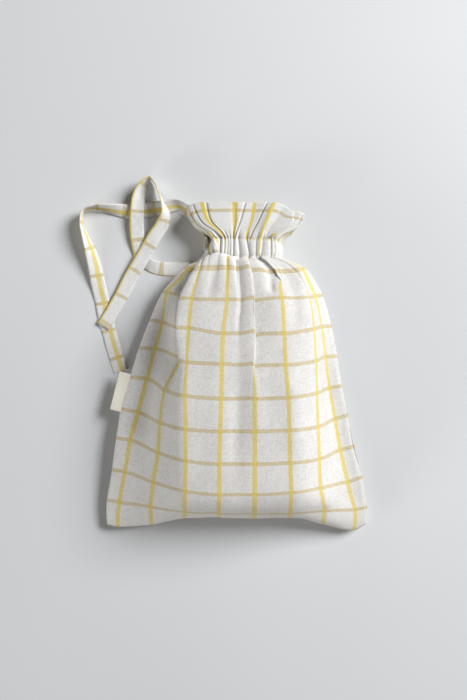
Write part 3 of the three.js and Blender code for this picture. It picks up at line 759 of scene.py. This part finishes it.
# Back panel, casing and ruffle
# The same piece of cloth again. It lies flat on the table, rises to the side seams, and is gathered
# and turned in as the front is. Its check was cut half a repeat out of step.
back_rows = {}
share = (line_places + cloth_half) / (2 * cloth_half)
lying = smooth(abs(2 * share - 1), 0.72, 1.0)
for place, (xs, ys, zs) in front_rows.items():
    xs, ys, zs = (np.array(values, float) for values in (xs, ys, zs))
    if place == 0:
        back_rows[place] = (xs, ys, zs - 0.8)
    elif place < foot_stitch:
        settle = smooth(place, 0, 30)
        gather = smooth(place, 262, 321)
        even = xs[0] + (xs[-1] - xs[0]) * share
        level = ys[0] + (ys[-1] - ys[0]) * share
        low = 1.0 + 2.5 * gather
        height = low + (zs[0] - low) * lying
        drawn = (-163 + 0.37 * place if place < 30 else -152 + 0.94 * (place - 30)) - level
        back_rows[place] = (
            even + (xs - even) * gather, level + drawn * (1 - lying),
            (zs - 0.8) * (1 - settle) * 0.4 + height * (1 - 0.4 * (1 - settle)),
        )
    else:
        back_rows[place] = (xs, ys - (1.5 if place > 350 else 0), 2 * seam_height - zs)
back = cloth_surface(back_rows, across, up)
tightness = through([0, 285, 308, 321, 331, 341, 352, 385], [0, 0, 0.3, 0.7, 1.0, 0.7, 0.5, 0.4], up)
folds = gathers(-across, casing_valleys, casing_swells)[None, :]
under = dents(across, up, 21, 60, 0.12) * body
normals = outward(back)
back = back - normals * ((folds * tightness[:, None] + under * above_seam) * edge_fade)[..., None]
back[..., 2] -= roll[None, :] * 0.4 * rolled[:, None]
back[..., 2] += closing * meeting
table_gap = 0.1
back[..., 2] = np.maximum(back[..., 2], table_gap)
points, cloth = turned_in(back[:, ::-1], up, -across)
back_cloth = grid_mesh("back_cloth", points, cloth)
back_cloth.data.materials.append(check_cloth("back_check", 0.0, 0.030, filled=True))
thicken(back_cloth, cloth_thickness)
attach(back_cloth, "root")
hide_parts("back_panel", "back_casing", "back_ruffle")

# Drawstring inside the casing
# The same tape goes in beside the left seam, round the right seam and back, and the gathers
# squeeze it narrower.
stations = []
for side, shares in ((1, np.linspace(leaves_at, 1, 60)), (-1, np.linspace(1, leaves_at, 60)[1:])):
    for part in shares:
        x, z, out, rise = neck_arc(part)
        sunk = 3.6 * smooth(part, leaves_at, leaves_at + 0.1)
        height = seam_height + side * (seam_gap + z - sunk * rise)
        place = np.array([neck_middle + x - sunk * out, casing_middle, height])
        stations.append((place, np.array([0.0, 1.0, 0.0]), squeezed_width))
drawstring, _, _ = tape_mesh("drawstring_tape", stations, ([0, 1], [-1.6, -1.6]), 0.0, ([0, 345], [0, 10]))
drawstring.data.materials.append(tape_cloth)
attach(drawstring, "root")
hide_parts("drawstring_in_casing")

# Side label
# A cream cotton ribbon folded in half, its two ends sewn into the left side seam. It is plain, and
# its fold stands a little open.
label_length, label_reach, label_tuck = 43.0, 12.5, 7.0
half_apart, fold_reach = 0.5, 0.7
label_start, label_end = np.array([-116.6, -7.0]), np.array([-127.4, -50.0])
seam_way = (label_end - label_start) / np.linalg.norm(label_end - label_start)
away = np.array([seam_way[1], -seam_way[0]])
away = away if away[0] < 0 else -away
fold_start = label_reach - fold_reach
profile = [(-label_tuck + k * (label_tuck + fold_start) / 14, half_apart) for k in range(15)]
for turn in np.linspace(0.4, math.pi - 0.4, 6):
    profile.append((fold_start + fold_reach * math.sin(turn), half_apart * math.cos(turn)))
profile += [(out, -half_apart) for out, _ in profile[14::-1]]
lengths = np.concatenate([[0], np.cumsum([math.dist(a, b) for a, b in zip(profile, profile[1:])])])
rows, cloth = [], []
for k in range(31):
    along = k / 30 * label_length
    bow = 0.7 * math.sin(math.pi * k / 30)
    row, spots = [], []
    for (out, height), far in zip(profile, lengths):
        spread = 1 + 0.9 * smooth(out, 0, 9) * (1 - smooth(out, 9, 12.5))
        droop = -1.6 * smooth(out, -1, label_reach) + bow * smooth(out, 2, label_reach)
        spot = label_start + seam_way * along + away * out
        row.append((spot[0], spot[1], seam_height + 0.3 + height * spread + droop))
        spots.append((far, along))
    rows.append(row)
    cloth.append(spots)
label = grid_mesh("side_label_ribbon", np.array(rows), np.array(cloth))
thicken(label, 0.35)
label_cloth = bpy.data.materials.new("label_ribbon")
label_cloth.use_nodes = True
tree = label_cloth.node_tree
shader = tree.nodes["Principled BSDF"]
cloth = tree.nodes.new("ShaderNodeUVMap")
cloth.uv_map = "cloth"
threads = tree.nodes.new("ShaderNodeGroup")
threads.node_tree = weave
tree.links.new(cloth.outputs[0], threads.inputs["Cloth"])
shade = ramp_between(tree, threads.outputs["Shade"], 0.3, 0.7)
cream = blend_colours(tree, shade, (0.88, 0.84, 0.73, 1), (0.92, 0.88, 0.78, 1))
fleck = maths(tree, "MULTIPLY", threads.outputs["Dark Fleck"], 0.3)
cream = blend_colours(tree, fleck, cream, (0.62, 0.54, 0.40, 1))
tree.links.new(cream, shader.inputs["Base Color"])
roughness = ramp_between(tree, threads.outputs["Height"], 0.5, 1.5, 0.85, 0.7)
tree.links.new(roughness, shader.inputs["Roughness"])
bump = tree.nodes.new("ShaderNodeBump")
bump.inputs["Strength"].default_value = 0.35
bump.inputs["Distance"].default_value = 0.0002
tree.links.new(threads.outputs["Height"], bump.inputs["Height"])
tree.links.new(bump.outputs[0], shader.inputs["Normal"])
shader.inputs["Specular IOR Level"].default_value = 0.25
label.data.materials.append(label_cloth)
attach(label, "root")
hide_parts("side_label")

# Table and light
# A plain pale table. One large soft lamp stands on the right beyond the bag's mouth, a weak low one
# lights the left and bottom flanks, and the camera sees an even pale surround.
bpy.ops.object.select_all(action="DESELECT")
bpy.ops.mesh.primitive_plane_add(size=6.0, location=(0, 0, 0))
table = bpy.context.active_object
table.name = "table"
table_top = bpy.data.materials.new("pale_table")
table_top.use_nodes = True
tree = table_top.node_tree
shader = tree.nodes["Principled BSDF"]
spots = tree.nodes.new("ShaderNodeTexCoord")
mottle = tree.nodes.new("ShaderNodeTexNoise")
mottle.inputs["Scale"].default_value = 3.0
tree.links.new(spots.outputs["Object"], mottle.inputs["Vector"])
top_colour = blend_colours(tree, mottle.outputs["Fac"], (0.67, 0.68, 0.69, 1), (0.72, 0.73, 0.74, 1))
tree.links.new(top_colour, shader.inputs["Base Color"])
shader.inputs["Roughness"].default_value = 0.55
shader.inputs["Specular IOR Level"].default_value = 0.2
table.data.materials.append(table_top)

for name, size, energy, place in (
    ("window_light", 1.7, 150.0, (2.3, 1.32, 1.9)),
    ("left_fill", 0.9, 33.0, (-2.1, -1.3, 0.46)),
):
    lamp = bpy.data.objects.new(name, bpy.data.lights.new(name, "AREA"))
    lamp.data.shape = "DISK"
    lamp.data.size = size
    lamp.data.energy = energy
    lamp.data.color = (0.97, 0.985, 1.0)
    lamp.location = place
    lamp.rotation_euler = lamp.location.to_track_quat("Z", "Y").to_euler()
    lamp.visible_camera = False
    bpy.context.scene.collection.objects.link(lamp)

surround = bpy.data.worlds.new("surround")
surround.use_nodes = True
tree = surround.node_tree
tree.nodes["Background"].inputs["Color"].default_value = (1.0, 0.95, 0.88, 1)
tree.nodes["Background"].inputs["Strength"].default_value = 0.12
backdrop = tree.nodes.new("ShaderNodeBackground")
backdrop.inputs["Color"].default_value = (0.66, 0.67, 0.68, 1)
seen = tree.nodes.new("ShaderNodeLightPath")
either = tree.nodes.new("ShaderNodeMixShader")
tree.links.new(seen.outputs["Is Camera Ray"], either.inputs[0])
tree.links.new(tree.nodes["Background"].outputs[0], either.inputs[1])
tree.links.new(backdrop.outputs[0], either.inputs[2])
tree.links.new(either.outputs[0], tree.nodes["World Output"].inputs["Surface"])
bpy.context.scene.world = surround
bpy.context.scene.view_settings.view_transform = "Standard"
